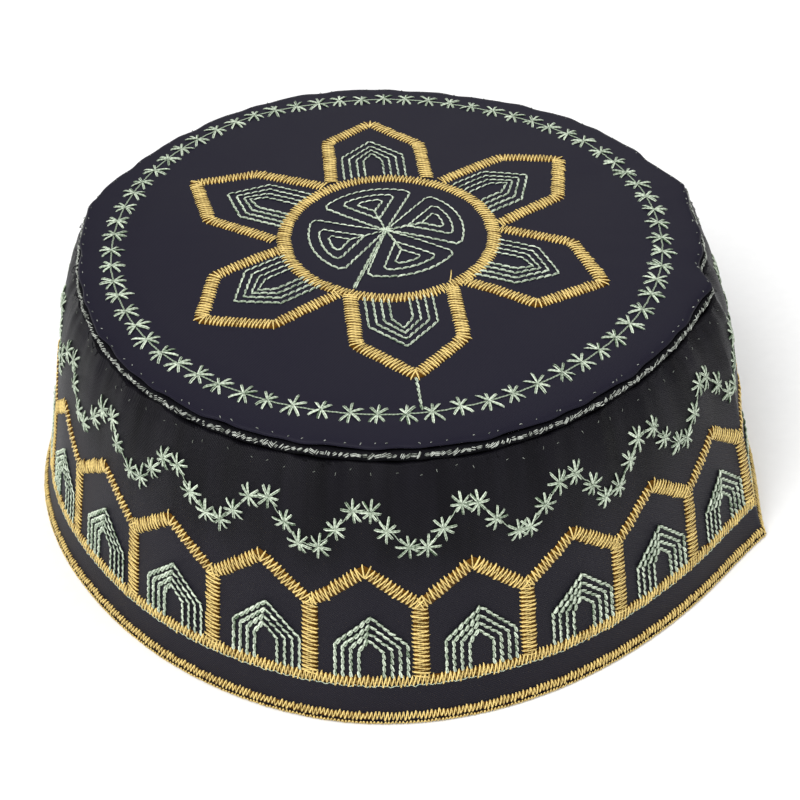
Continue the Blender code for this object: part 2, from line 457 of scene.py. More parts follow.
@dataclass
class CrownFace(Face):
    """The crown's top: distances toward +X and +Y from the middle of the embroidery."""

    motif: tuple[float, float] = (-0.5, 0.1)

    def point(self, across: Array, along: Array) -> Array:
        """Find points of the crown's top.

        Args:
            across: Distances toward +X.
            along: Distances toward +Y.

        Returns:
            The points.
        """
        plan = np.stack([across, along], axis=-1) + self.motif
        reach = np.linalg.norm(plan, axis=-1) / self.form.seam_radius(np.arctan2(plan[..., 1], plan[..., 0]))
        return lifted(plan - self.form.middle, self.form.crown_height(reach) + self.form.crown_relief(plan))


@dataclass
class WeltFace(RoundFace):
    """The rolled welt in the seam: distance round the seam, and way up the roll from its outermost line."""

    swell: float = 0.06

    @cached_property
    def plan(self) -> Array:
        """Plan line of the roll's middle."""
        inset = self.form.welt_tuck * self.form.welt_diameter / 2
        return self.form.plan(self.form.turns, self.form.seam_table - inset)

    def point(self, across: Array, along: Array) -> Array:
        """Find points of the roll, which swells a little between stitches.

        Args:
            across: Distances round the seam.
            along: Distances up the roll.

        Returns:
            The points.
        """
        angles = self.angle(across)
        radius = self.form.welt_diameter / 2 * (1.0 + self.swell * ripple(angles, SWELL_WAVES))
        plan = follow(angles, self.form.turns, self.plan) + bearing(angles) * (radius * np.cos(along / radius))[..., None]
        return lifted(plan, self.form.seam_height + radius * np.sin(along / radius))


@dataclass
class HemFace(RoundFace):
    """The bound hem: distance round the rim, and way up its outer side from its lowest outer edge.

    The second measure goes below zero under the hem and up its inner side.
    """

    rounding: float = 0.8
    lowest: float = 0.44
    step: float = 0.1
    shoulder: float = 0.06
    shoulder_drop: float = 0.1
    tuck: float = 0.4

    @cached_property
    def plan(self) -> Array:
        """Plan line of the rim's outline."""
        return self.form.plan(self.form.turns, self.form.rim_table)

    @cached_property
    def section(self) -> Array:
        """The hem's outline from the inner top to the outer: way out from the band's face, and height."""
        out, inner = self.form.hem_proud, self.form.hem_proud - self.form.hem_thickness
        top, low = self.form.hem_height, self.lowest
        outer = [(out, low), (out, 0.5 * top), (self.shoulder, top - self.shoulder_drop), (-self.tuck, top)]
        corners = np.array([(inner, top), (inner, low), *outer])
        count = round(distances(corners)[-1] / self.step) + 1
        return rounded_line(corners, count, 2 * round(self.rounding / self.step) + 1)

    @cached_property
    def reach(self) -> Array:
        """Second measure at every point of the section."""
        steps = distances(self.section)
        return steps - steps[np.argmax(self.section[:, 0] - self.section[:, 1])]

    def point(self, across: Array, along: Array) -> Array:
        """Return points of the hem's face."""
        place = follow(along, self.reach, self.section)
        return self.form.wall(self.angle(across), place[..., 1], place[..., 0])


class NodeSheet:
    """A material's nodes, added one at a time."""

    def __init__(self, name: str) -> None:
        """Start a material with its shader alone."""
        self.material = bpy.data.materials.new(name)
        self.material.use_nodes = True
        self.tree = self.material.node_tree
        self.shader = self.tree.nodes["Principled BSDF"]

    def add(self, kind: str, sockets: dict[str | int, object], **settings: object) -> bpy.types.Node:
        """Add a node.

        Args:
            kind: Type of the node.
            sockets: Value of each input, or the output that is linked to it.
            settings: Properties of the node itself.

        Returns:
            The node.
        """
        node = self.tree.nodes.new(f"ShaderNode{kind}")
        for name, value in settings.items():
            setattr(node, name, value)
        self.fill(node, sockets)
        return node

    def fill(self, node: bpy.types.Node, sockets: dict[str | int, object]) -> None:
        """Set or link a node's inputs.

        Args:
            node: The node.
            sockets: Value of each input, or the output that is linked to it.
        """
        for name, value in sockets.items():
            if isinstance(value, Socket):
                self.tree.links.new(value, node.inputs[name])
            else:
                node.inputs[name].default_value = value

    def sum(self, operation: str, first: object, second: object = 0.0) -> Socket:
        """Return the outcome of one step of arithmetic."""
        return self.add("Math", {0: first, 1: second}, operation=operation).outputs[0]

    def total(self, *terms: tuple[object, float]) -> Socket:
        """Return the sum of values that each have a weight."""
        whole = 0.0
        for value, weight in terms:
            whole = self.sum("ADD", whole, self.sum("MULTIPLY", value, weight))
        return whole

    def along(self, vector: Socket, turn: float) -> Socket:
        """Return how far a plan vector reaches along a direction in radians."""
        sockets = {0: vector, 1: (math.cos(turn), math.sin(turn), 0.0)}
        return self.add("VectorMath", sockets, operation="DOT_PRODUCT").outputs["Value"]

    def blend(self, share: object, low: Colour, high: Colour) -> Socket:
        """Return a colour between two, by a share."""
        sockets = {0: share, 6: (*low, 1.0), 7: (*high, 1.0)}
        return self.add("Mix", sockets, data_type="RGBA").outputs[2]

    def noise(self, scale: float, detail: float, vector: Socket) -> Socket:
        """Return a soft random value between 0 and 1."""
        return self.add("TexNoise", {"Scale": scale, "Detail": detail, "Vector": vector}).outputs[0]

    def bump(self, strength: float, depth: float, height: Socket) -> Socket:
        """Return the normal of a relief whose depth is in millimetres."""
        return self.add("Bump", {"Strength": strength, "Distance": depth * MM, "Height": height}).outputs[0]


@dataclass(frozen=True)
class TwillFinish:
    """Smooth dark twill: fine slanting ribs crossed by single yarns, with painted shade and painted sheen toward the
    seam.
    """

    name: str
    deep: Colour
    light: Colour
    roughness: float = 0.46
    gloss: float = 0.06
    rib: float = 0.55
    yarn: float = 0.42
    rib_deg: float = 52.0
    rib_height: float = 0.035
    # Painted shade near the seam: its share at the seam, the heights in millimetres on the weave map where it starts
    # and where it is full, and how strongly upright patches of painted sheen break it
    pucker_fade_and_seam_shade: float = 0.0
    shade_low: float = 34.0
    shade_high: float = 52.0
    sheen_patches: float = 2.1

    def material(self) -> bpy.types.Material:
        """Make the twill, whose ribs follow the cloth's own weave map.

        Returns:
            The material.
        """
        sheet = NodeSheet(self.name)
        weave = sheet.add("UVMap", {}, uv_map="weave").outputs[0]
        slant = math.radians(self.rib_deg)
        ribs = sheet.sum("SINE", sheet.sum("MULTIPLY", sheet.along(weave, slant), TURN / self.rib))
        yarns = sheet.sum("SINE", sheet.sum("MULTIPLY", sheet.along(weave, slant + math.pi / 2), TURN / self.yarn))
        woven = sheet.total((ribs, 0.5), (0.5, 1.0), (yarns, 0.22))
        grain, cloud = sheet.noise(2.2, 2.0, weave), sheet.noise(0.045, 3.0, weave)
        share = sheet.total((woven, 0.45), (cloud, 0.35), (grain, 0.20))
        # Painted shade that deepens the colour toward the seam, lightened or deepened further by upright patches of
        # painted sheen
        depth = sheet.add("MapRange", {
            "Value": sheet.add("SeparateXYZ", {"Vector": weave}).outputs["Y"],
            "From Min": self.shade_low,
            "From Max": self.shade_high,
            "To Max": self.pucker_fade_and_seam_shade,
        }, interpolation_type="SMOOTHSTEP").outputs["Result"]
        upright = sheet.add("VectorMath", {0: weave, 1: (1.0, 0.12, 1.0)}, operation="MULTIPLY").outputs[0]
        sheen_patches = sheet.sum("MULTIPLY", sheet.sum("SUBTRACT", sheet.noise(0.13, 2.0, upright), 0.5), self.sheen_patches)
        shade_and_sheen = sheet.sum("SUBTRACT", 1.0, sheet.sum("MULTIPLY", depth, sheet.sum("SUBTRACT", 1.0, sheen_patches)))
        dye = {0: sheet.blend(share, self.deep, self.light), "Scale": shade_and_sheen}
        sheet.fill(sheet.shader, {
            "Base Color": sheet.add("VectorMath", dye, operation="SCALE").outputs[0],
            "Roughness": sheet.total((cloud, 0.14), (self.roughness - 0.07, 1.0)),
            "Specular IOR Level": self.gloss,
            "Normal": sheet.bump(1.0, self.rib_height, sheet.total((woven, 1.0), (grain, 0.6))),
        })
        return sheet.material


@dataclass(frozen=True)
class ThreadFinish:
    """Shiny twisted thread, tone varied per stitch, painted highlight on its crest and painted shade on its flanks."""

    name: str
    deep: Colour
    light: Colour
    flank_roughness: float = 0.60
    polish: float = 0.30
    gloss: float = 0.30
    twist: float = 0.9
    # Share of the colour painted as highlight on the thread's crest and as shade on its flanks
    crest_shading: float = 0.46
    ply_height: float = 0.05

    def material(self) -> bpy.types.Material:
        """Make the thread, whose plies wind round it.

        Returns:
            The material.
        """
        sheet = NodeSheet(self.name)
        tone = sheet.add("Attribute", {}, attribute_name="tone").outputs["Fac"]
        ply = sheet.add("Attribute", {}, attribute_name="ply").outputs["Vector"]
        across, up, walked = sheet.add("SeparateXYZ", {"Vector": ply}).outputs
        wound = sheet.sum("MULTIPLY", walked, TURN / self.twist)
        plies = sheet.sum(
            "ADD",
            sheet.sum("MULTIPLY", up, sheet.sum("COSINE", wound)),
            sheet.sum("MULTIPLY", across, sheet.sum("SINE", wound)),
        )
        fibre = sheet.noise(5.0, 2.0, ply)
        # Painted highlight on the top of each thread and painted shade down its flanks, with the base lowered to
        # balance it
        base = -0.15 - 0.45 * self.crest_shading
        share = sheet.total((tone, 0.85), (plies, 0.14), (up, self.crest_shading), (fibre, 0.3), (base, 1.0))
        shine = sheet.sum("MULTIPLY", sheet.add("Clamp", {"Value": share}).outputs[0], self.polish)
        sheet.fill(sheet.shader, {
            "Base Color": sheet.blend(share, self.deep, self.light),
            "Roughness": sheet.sum("SUBTRACT", self.flank_roughness, shine),
            "Specular IOR Level": self.gloss,
            "Specular Tint": (*self.light, 1.0),
            "Normal": sheet.bump(0.8, self.ply_height, sheet.total((plies, 0.5), (fibre, 1.0))),
        })
        return sheet.material


@dataclass(frozen=True)
class FloorFinish:
    """Plain pale studio paper with a faint grain."""

    name: str = "studio_paper"
    colour: Colour = (0.90, 0.90, 0.90)
    fleck: Colour = (0.86, 0.86, 0.86)
    roughness: float = 0.9

    def material(self) -> bpy.types.Material:
        """Make the paper.

        Returns:
            The material.
        """
        sheet = NodeSheet(self.name)
        grain = sheet.noise(300.0, 2.0, sheet.add("TexCoord", {}).outputs["Object"])
        colour = sheet.blend(grain, self.colour, self.fleck)
        sheet.fill(sheet.shader, {"Base Color": colour, "Roughness": self.roughness})
        return sheet.material


class Cloth(Enum):
    """The cap's cloths and threads, each by the record's material slot and its look."""

    CROWN = ("crown_twill", TwillFinish(
        "crown_twill_weave", (0.0083, 0.0075, 0.0142), (0.0138, 0.0126, 0.0228), rib=0.42, rib_height=0.012))
    # The band's twill carries painted shade toward the seam, broken by upright patches of painted sheen
    BAND = ("band_twill", TwillFinish(
        "band_twill_weave", (0.0072, 0.0066, 0.0100), (0.0170, 0.0155, 0.0225), 0.42, 0.09, rib=0.50,
        rib_height=0.06, pucker_fade_and_seam_shade=0.58))
    # The seam cloth is near-black, far darker than the crown's and band's twill: painted shade on the welt in the
    # seam's groove and on the hem's fold line; the loose fibres under the welt use it too
    SEAM = ("seam_cloth", TwillFinish(
        "seam_cloth_weave", (0.0030, 0.0030, 0.0040), (0.0060, 0.0058, 0.0080), 0.60, 0.05))
    # The gold thread gets the strongest painted crest highlight and flank shade
    GOLD = ("gold_thread", ThreadFinish("gold_thread_sheen", (0.085, 0.032, 0.001), (0.88, 0.67, 0.25), crest_shading=0.66))
    GREEN = ("green_thread", ThreadFinish("green_thread_sheen", (0.070, 0.115, 0.062), (0.76, 0.85, 0.69)))
    PALE = ("pale_thread", ThreadFinish("pale_thread_sheen", (0.080, 0.090, 0.075), (0.58, 0.61, 0.55)))

    @property
    def slot(self) -> str:
        """The record's material slot."""
        return self.value[0]

    @cached_property
    def material(self) -> bpy.types.Material:
        """The finish's material, made once."""
        return self.value[1].material()


def place_piece(name: str, mesh: bpy.types.Mesh, cloth: Cloth) -> bpy.types.Object:
    """Put a mesh in the scene as a piece of the cap.

    Args:
        name: Name of the piece.
        mesh: Its mesh, already where it belongs.
        cloth: What it is made of.

    Returns:
        The piece, riding on the cap.
    """
    piece = bpy.data.objects.new(name, mesh)
    mesh.materials.append(cloth.material)
    bpy.context.scene.collection.objects.link(piece)
    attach(piece, "root")
    cloth.slot
    triangles = sum(len(face.vertices) - 2 for face in mesh.polygons)
    LOG.info("%s: %d triangles of %s", name, triangles, cloth.slot)
    return piece


def place_cloth(
    name: str, rows: Array, weave: Array, cloth: Cloth, tips: tuple[Array, Array] | None = None
) -> bpy.types.Object:
    """Make a closed piece of cloth from rings of points.

    Args:
        name: Name of the piece.
        rows: Points of the rings in millimetres, rings by points by three.
        weave: Place of each point in the woven cloth in millimetres, with one column more than rows.
        cloth: What it is made of.
        tips: End points before the first ring and after the last. Without them the last ring joins the first.

    Returns:
        The piece, with the weave as its UV map.
    """
    rings, count = rows.shape[:2]
    index = np.arange(rings * count).reshape(rings, count)
    around = np.concatenate([index, index[:, :1]], axis=1)
    lower = np.arange(rings if tips is None else rings - 1)
    upper = (lower + 1) % rings
    quads, places = (
        np.stack([grid[lower, :-1], grid[lower, 1:], grid[upper, 1:], grid[upper, :-1]], axis=2)
        for grid in (around, weave)
    )
    points, faces, places = rows.reshape(-1, 3), quads.reshape(-1, 4).tolist(), list(places.reshape(-1, 2))
    if tips is not None:
        first = len(points)
        points = np.concatenate([points, np.array(tips)])
        for near in range(count):
            far = near + 1
            faces += [[around[0, far], around[0, near], first], [around[-1, near], around[-1, far], first + 1]]
            places += [weave[0, far], weave[0, near], tips[0][:2], weave[-1, near], weave[-1, far], tips[1][:2]]
    mesh = bpy.data.meshes.new(name)
    mesh.from_pydata((points * MM).tolist(), [], faces)
    mesh.uv_layers.new(name="weave").data.foreach_set("uv", np.ravel(places))
    mesh.shade_smooth()
    return place_piece(name, mesh, cloth)


@dataclass
class ThreadWork:
    """Threads laid on one face, gathered up and placed as one piece. tone is the satin strokes' middle tone."""

    face: Face
    seed: int
    sides: int = 5
    tone: float = 0.60
    # Step of tone up for the painted highlight on forward satin strokes and down for the painted shade on back strokes
    stroke_shading_step: float = 0.22
    # Tone of the padding under satin lines, painted shade between strokes, and the lowest tone any thread gets
    padding_shade_tone: float = -0.5
    padding_spacing: float = 1.5
    batches: list[tuple[Array, Array, Array]] = field(default_factory=list)

    def __post_init__(self) -> None:
        """Seed the small unevenness of hand-guided work."""
        self.chance = np.random.default_rng(self.seed)

    def jitter(self, shape: tuple[int, ...] | int, size: float) -> Array:
        """Return small random offsets around zero."""
        return self.chance.normal(0.0, size, shape)

    def nudge(self, size: float) -> float:
        """Return one small random offset around zero."""
        return self.jitter(1, size)[0]

    def lay(self, places: Array, lifts: Array, widths: Array, tones: Array, flatness: float = 1.0) -> None:
        """Lay threads on the face.

        Args:
            places: Points that each thread follows in the face's measures, threads by points by two.
            lifts: Height of the thread's middle over the face at each point.
            widths: Width of each thread at each point.
            tones: Place of each thread between its finish's deep and light colour, 0 to 1.
            flatness: Height of a thread's section as a share of its width.
        """
        here, outward = self.face.frame(places[..., 0], places[..., 1])
        shape = here.shape[:2]
        middle = here + outward * np.broadcast_to(lifts, shape)[..., None]
        run = unit(np.gradient(middle, axis=1))
        side = unit(np.cross(run, outward))
        turn = bearing(np.arange(self.sides) * TURN / self.sides)
        spread = turn[:, :1] * side[:, :, None] + flatness * turn[:, 1:] * np.cross(side, run)[:, :, None]
        rings = middle[:, :, None] + np.broadcast_to(widths, shape)[..., None, None] / 2 * spread
        walked = np.cumsum(np.linalg.norm(np.diff(middle, axis=1, prepend=middle[:, :1]), axis=-1), axis=1)
        ply = lifted(np.broadcast_to(turn, (*rings.shape[:3], 2)), walked[..., None])
        self.batches.append((rings, ply, np.clip(tones, self.padding_shade_tone, 1.0)))

    def satin(self, line: Line, width: float, spacing: float, thread: float, bunch: float = 0.18,
              ragged: float = 0.11, fan: float = 1.2) -> None:
        """Sew a dense zigzag along a line: painted highlight on forward strokes, painted shade on back strokes between
        them.

        Args:
            line: Middle of the sewn band.
            width: Width of the sewn band.
            spacing: Distance along the line from one stroke to the next.
            thread: Width of the thread.
            bunch: How much strokes lean together in pairs, as a share of the spacing.
            ragged: How unevenly the strokes end.
            fan: Distance over which strokes turn round a corner.
        """
        count = max(int(line.length / spacing), 2)
        index = np.arange(count + 1)
        hand = np.where(index % 2, 1.0, -1.0)
        place = index * line.length / count + hand * bunch * spacing + self.jitter(count + 1, 0.10 * spacing)
        reach = hand * (width / 2 + self.jitter(count + 1, ragged))
        ends = line.at(place) + leftward(line.heading(place, fan)) * reach[:, None]
        share = STROKE[0][:, None]
        self.underlay(line, width)
        back = index[:-1] % 2
        lifts = STROKE[1] * thread + self.jitter((count, 1), 0.10 * thread) - 0.18 * thread * back[:, None]
        widths = thread * STROKE[2] * (1.0 + self.jitter((count, 1), 0.06))
        # Painted highlight on forward strokes and painted shade on back strokes
        tones = self.tone + np.where(back, -self.stroke_shading_step, self.stroke_shading_step) + self.jitter(count, 0.18)
        self.lay(ends[:-1, None] * (1.0 - share) + ends[1:, None] * share, lifts, widths, tones)

    def underlay(self, line: Line, width: float) -> None:
        """Lay a flat padding in the deepest tone along a satin line, painted shade that shows between its strokes.

        Args:
            line: Middle of the sewn band.
            width: Width of the sewn band.
        """
        walked = np.linspace(0.01, 0.99, max(int(line.length / self.padding_spacing), 3)) * line.length
        taper = np.r_[0.6, np.ones(len(walked) - 2), 0.6]
        self.lay(line.at(walked)[None], np.array([[0.02]]), 0.96 * width * taper, np.array([self.padding_shade_tone]), 0.09)

    def chain(self, line: Line, link: float, width: float, tone: float = 0.5) -> None:
        """Sew a line of chain stitches, each a narrow loop of two strands that starts inside the last.

        Args:
            line: Line of the stitches.
            link: Length of one stitch.
            width: Width of a loop.
            tone: Middle tone of the threads.
        """
        count = max(round(line.length / link), 1)
        start, step = np.arange(count) * line.length / count, line.length / count
        share, lift, breadth, bow = LINK
        lean = self.jitter((count, 1), 0.05) + 0.11
        sideways = leftward(line.heading(start + step / 2, 0.3))[:, None]
        walked = line.at(start[:, None] + share * step)
        for hand in (-1.0, 1.0):
            shift = hand * bow * width * 0.27 + lean * width * (share - 0.5) * 4.0
            tones = tone + 0.14 * hand + self.jitter(count, 0.20)
            self.lay(walked + sideways * shift[..., None], width * (lift + 0.07 * hand), width * breadth, tones)

    def star(self, centre: Array | tuple[float, float], arms_deg: Sequence[float], reach: float, thread: float) -> None:
        """Sew one star of tapering arms that start at its middle, each of two strands.

        Args:
            centre: Middle of the star.
            arms_deg: Direction of each arm, anticlockwise from the first measure.
            reach: Length of an arm.
            thread: Width of one strand.
        """
        count = len(arms_deg)
        share, lift, breadth, apart = ARM
        middle = np.array(centre) + self.jitter(2, 0.12)
        turn = np.radians(np.array(arms_deg) + self.jitter(count, 5.0))
        length = reach * (1.0 + self.jitter(count, 0.10))
        for hand in (-1.0, 1.0):
            far = (length + self.jitter(count, 0.08))[:, None] * share
            lifts = thread * lift + self.jitter((count, 1), 0.06)
            tones = 0.46 + 0.14 * hand + self.jitter(count, 0.2)
            self.lay(dashes(middle, turn, far, hand * thread * apart), lifts, thread * breadth, tones)

    def strand(self, points: Points, thread: float, lift: float = 0.5, tone: float = 0.5) -> None:
        """Lay one free thread, its ends tucked into the cloth.

        Args:
            points: Points that it follows.
            thread: Its width.
            lift: Height of its middle as a share of its width.
            tone: Its tone.
        """
        places = np.array(points, dtype=float)[None]
        lifts = thread * np.r_[-0.2, np.full(places.shape[1] - 2, lift), -0.2]
        self.lay(places, lifts, np.array([[thread]]), np.array([tone]))

    def place(self, name: str, cloth: Cloth) -> None:
        """Make one mesh of all the threads, with their tone and ply as attributes, and place it.

        Args:
            name: Name of the piece.
            cloth: What the threads are made of.
        """
        quads, caps, base = [], [], 0
        for rings, _, _ in self.batches:
            shape = rings.shape[:3]
            index = base + np.arange(math.prod(shape)).reshape(shape)
            ahead = np.roll(index, -1, axis=2)
            corners = [index[:, :-1], ahead[:, :-1], ahead[:, 1:], index[:, 1:]]
            quads.append(np.stack(corners, axis=-1).reshape(-1, 4))
            caps += index[:, 0, ::-1].tolist() + index[:, -1].tolist()
            base += index.size
        points, plies = (np.concatenate([batch[part].reshape(-1, 3) for batch in self.batches]) for part in (0, 1))
        tones = np.concatenate([np.repeat(tone, math.prod(rings.shape[1:3])) for rings, _, tone in self.batches])
        mesh = bpy.data.meshes.new(name)
        mesh.from_pydata((points * MM).tolist(), [], np.concatenate(quads).tolist() + caps)
        mesh.attributes.new("ply", "FLOAT_VECTOR", "POINT").data.foreach_set("vector", plies.ravel())
        mesh.attributes.new("tone", "FLOAT", "POINT").data.foreach_set("value", tones)
        mesh.shade_smooth()
        place_piece(name, mesh, cloth)


@dataclass
class CrownPanel:
    """The round top panel: one cloth that is domed a little and turned down at its edge."""

    form: CapForm
    divisions: int = 400
    rings: int = 52
    crowding: float = 1.25
    underside_rings: int = 12
    lump: float = 0.22
    cut: tuple[float, float] = (0.164, 0.163)

    def rows(self) -> Array:
        """Work out the rings of the panel.

        Returns:
            Their points, from the middle of its underside out and back to the top's middle.
        """
        angles = np.arange(self.divisions) * TURN / self.divisions
        edge = self.form.seam_radius(angles)
        rows = []
        for reach, drop in self.profile():
            plan = (reach * (edge + self.lump * ripple(angles, LUMP_WAVES)))[:, None] * bearing(angles)
            rows.append(lifted(plan - self.form.middle, self.form.crown_top - drop + self.form.crown_relief(plan)))
        picks = np.linspace(0, len(rows) - 12, self.underside_rings).astype(int)
        under = [rows[index] - [0.0, 0.0, self.form.crown_cloth] for index in picks]
        inset = 1.0 - self.form.crown_cloth / (edge + self.lump * ripple(angles, LUMP_WAVES))
        hem = (rows[-1][:, :2] + self.form.middle) * inset[:, None] - self.form.middle
        return np.array([*under, lifted(hem, rows[-1][:, 2]), *rows[::-1]])

    def profile(self) -> Array:
        """Pick the rings' places on the crown's profile, finest at its turned edge.

        Returns:
            Share of the edge's radius and drop of each ring.
        """
        line = self.form.crown_line
        steps = np.linspace(0.0, 1.0, self.rings + 1)[1:]
        return line[np.unique(np.round((1.0 - (1.0 - steps) ** self.crowding) * (len(line) - 1)).astype(int))]

    def build(self) -> None:
        """Make the panel and let it stand for the crown."""
        rows = self.rows()
        weave = np.concatenate([rows, rows[:, :1]], axis=1)[..., :2]
        middle = np.array([*-self.form.middle, self.form.crown_top + self.form.crown_relief(np.zeros(2))])
        tips = (middle - [0.0, 0.0, self.form.crown_cloth], middle)
        piece = place_cloth("crown_panel", rows, weave, Cloth.CROWN, tips)
        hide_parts("crown_top")
        math.pi / 4 * math.prod(self.cut)


@dataclass
class BandWall:
    """The tall side wall: one cloth with its corners, dents, gathers and puckers."""

    form: CapForm
    divisions: int = 600
    outer_rings: int = 40
    inner_rings: int = 8
    edge_ring: float = 0.1
    slope: float = 1.04
    cut: tuple[float, float] = (0.606, 0.080)
    cut_area: float = 0.0372

    def build(self) -> None:
        """Make the wall and let it stand for the band."""
        turns = np.linspace(-math.pi, math.pi, self.divisions + 1)
        around = np.interp(turns, self.form.turns, BandFace(self.form).walk)
        bottom = self.form.hem_height
        top = self.form.seam_height - self.form.welt_diameter / 2 - self.form.gap
        flank = np.linspace(bottom + self.edge_ring, top - self.edge_ring, self.outer_rings)
        lining = np.linspace(top, bottom, self.inner_rings)
        rows, weave = [], []
        for heights, inset in ((np.r_[bottom, flank, top], 0.0), (lining, self.form.band_cloth)):
            for height in heights:
                rows.append(self.form.wall(turns[:-1], height, -inset))
                weave.append(lifted(around[:, None], height * self.slope + inset))
        piece = place_cloth("band_wall", np.array(rows), np.array(weave), Cloth.BAND)
        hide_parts("side_band")


def wrapped(face: RoundFace, divisions: int, measures: Array) -> tuple[Array, Array]:
    """Lay rings round the cap at second measures of a face.

    Args:
        face: The face.
        divisions: How many points a ring has.
        measures: Second measure of each ring.

    Returns:
        The rings' points, and their places in the weave with one column more.
    """
    around = np.linspace(0.0, face.length, divisions + 1)
    rows = [face.point(around[:-1], np.full(divisions, measure)) for measure in measures]
    return np.array(rows), np.array([lifted(around[:, None], measure) for measure in measures])


@dataclass
class SeamWork:
    """The rolled welt in the seam, its pale whip stitches and the loose fibres under it."""

    form: CapForm
    divisions: int = 720
    section_points: int = 12
    stitch_pitch: float = 1.30
    stitch_length: float = 1.30
    stitch_lean: float = 0.35
    stitch_climb: float = 0.70
    strand_width: float = 0.22
    strand_spread: float = 1.25
    speck_pitch: float = 5.5
    speck_drop: float = 3.4
    speck_length: float = 0.6
    speck_width: float = 0.17
    fibre_count: int = 140
    fibre_points: int = 7
    fibre_width: float = 0.13
    seed: int = 41

    def __post_init__(self) -> None:
        """Measure the welt's face once."""
        self.face = WeltFace(self.form)

    def build_welt(self) -> None:
        """Make the roll in near-black cloth, painted shade of the seam's groove, and let it stand for the welt."""
        climbs = np.arange(self.section_points) * (math.pi * self.form.welt_diameter) / self.section_points
        piece = place_cloth("seam_welt", *wrapped(self.face, self.divisions, climbs), Cloth.SEAM)
        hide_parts("crown_welt")

    def build_stitches(self) -> None:
        """Sew short slanting whip stitches along the roll, each of three close strands."""
        work = ThreadWork(self.face, self.seed)
        count = round(self.face.length / self.stitch_pitch)
        middle = np.arange(count) * self.face.length / count + work.jitter(count, 0.20)
        turn = self.stitch_lean + work.jitter(count, 0.36)
        length = self.stitch_length * (1.0 + work.jitter(count, 0.22))
        tone = 0.50 + work.jitter(count, 0.22)
        for row in (-1.0, 0.0, 1.0):
            reach = WHIP[0] * (length * (1.0 - 0.12 * abs(row)) + work.jitter(count, 0.22))[:, None]
            aside = row * self.strand_width * self.strand_spread + work.jitter((count, 1), 0.09)
            places = dashes(lifted(middle[:, None], self.stitch_climb), turn, reach, aside)
            lifts = WHIP[1] + work.jitter((count, 1), 0.03)
            work.lay(places, lifts, self.strand_width * WHIP[2], tone + work.jitter(count, 0.24))
        work.place("seam_whip_stitches", Cloth.PALE)

    def build_specks(self) -> None:
        """Sew the sparse row of tiny dim specks a little under the roll."""
        work = ThreadWork(BandFace(self.form), self.seed + 2)
        length = work.face.length
        count = round(length / self.speck_pitch)
        middle = np.arange(count) * length / count + work.jitter(count, 1.2)
        centres = lifted(middle[:, None], self.form.seam_height - self.speck_drop + work.jitter(count, 0.45))
        places = dashes(centres, work.jitter(count, 1.0), SPECK[0] * self.speck_length)
        work.lay(places, SPECK[1], self.speck_width * SPECK[2], work.chance.uniform(0.0, 0.3, count))
        work.place("band_seam_specks", Cloth.PALE)

    def build_fibres(self) -> None:
        """Lay dark loose fibres in the groove between the roll and the band."""
        work = ThreadWork(BandFace(self.form), self.seed + 1, sides=4)
        steps = np.linspace(0.0, 1.0, self.fibre_points)
        for start in work.chance.uniform(0.0, work.face.length, self.fibre_count):
            length = work.chance.uniform(1.5, 4.5)
            lean, curl = work.nudge(1.4), work.jitter(self.fibre_points, 0.22)
            fall = work.chance.uniform(0.3, 1.5) * np.sin(steps * length / 1.6) ** 2
            points = np.column_stack([start + (lean + curl) * steps, self.form.seam_height - 1.0 - fall])
            tone = work.chance.uniform(0.0, 0.5)
            lifts = 0.25 + 0.5 * np.sin(steps * math.pi)
            work.lay(points[None], lifts, np.array([[self.fibre_width]]), np.array([tone]))
        work.place("seam_fibres", Cloth.SEAM)

    def build(self) -> None:
        """Make all of the seam."""
        for make in (self.build_welt, self.build_stitches, self.build_specks, self.build_fibres):
            make()


@dataclass
class HemWork:
    """The bound rim, which the cap rests on, and the gold strokes sewn over it."""

    form: CapForm
    divisions: int = 600
    section_step: int = 4
    strokes: tuple[float, float] = (0.92, 2.68)
    edge: tuple[float, float] = (-0.35, 0.66)
    edge_tone: float = 0.95
    # A near-black strand in the hem's fold, painted shadow: its place up the hem, its wave and its width
    groove: float = 0.74
    groove_wave: float = 0.05
    groove_thread: float = 0.24
    seed: int = 53

    def __post_init__(self) -> None:
        """Measure the hem's face once."""
        self.face = HemFace(self.form)

    def build_binding(self) -> None:
        """Make the folded cloth edge and let it stand for the binding."""
        rings = wrapped(self.face, self.divisions, self.face.reach[:: self.section_step])
        piece = place_cloth("hem_binding", *rings, Cloth.BAND)
        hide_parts("rim_binding")

    def build_strokes(self) -> None:
        """Sew upright gold strokes over the hem's outer side."""
        work = ThreadWork(self.face, self.seed)
        low, high = self.strokes
        work.satin(self.face.level((low + high) / 2), high - low, 0.47, 0.36, bunch=0.26, ragged=0.16)
        work.place("hem_strokes", Cloth.GOLD)

    def build_groove_shadow(self) -> None:
        """Lay a near-black strand in the fold between the strokes and the hem's lowest edge, a painted shadow line."""
        work = ThreadWork(self.face, self.seed + 1)
        across = np.linspace(0.0, self.face.length, 721)
        along = self.groove + self.groove_wave * np.sin(across * 0.9)
        work.strand(np.column_stack([across, along]), self.groove_thread, lift=0.45)
        work.place("hem_groove_shadow", Cloth.SEAM)

    def build_edge(self) -> None:
        """Sew the short pale strokes under the painted shadow line."""
        work = ThreadWork(self.face, self.seed + 2, sides=4, tone=self.edge_tone)
        low, high = self.edge
        work.satin(self.face.level((low + high) / 2), high - low, 0.42, 0.30, bunch=0.15, ragged=0.10)
        work.place("hem_edge_strokes", Cloth.GOLD)

    def build(self) -> None:
        """Make all of the hem."""
        for make in (self.build_binding, self.build_strokes, self.build_groove_shadow, self.build_edge):
            make()


class Petal(NamedTuple):
    """A gold petal: its axis, its outline beside that axis, and how far its green houses lie off their place."""

    axis_deg: float
    outline: tuple[tuple[float, float], ...]
    house_along: float
    house_beside: float


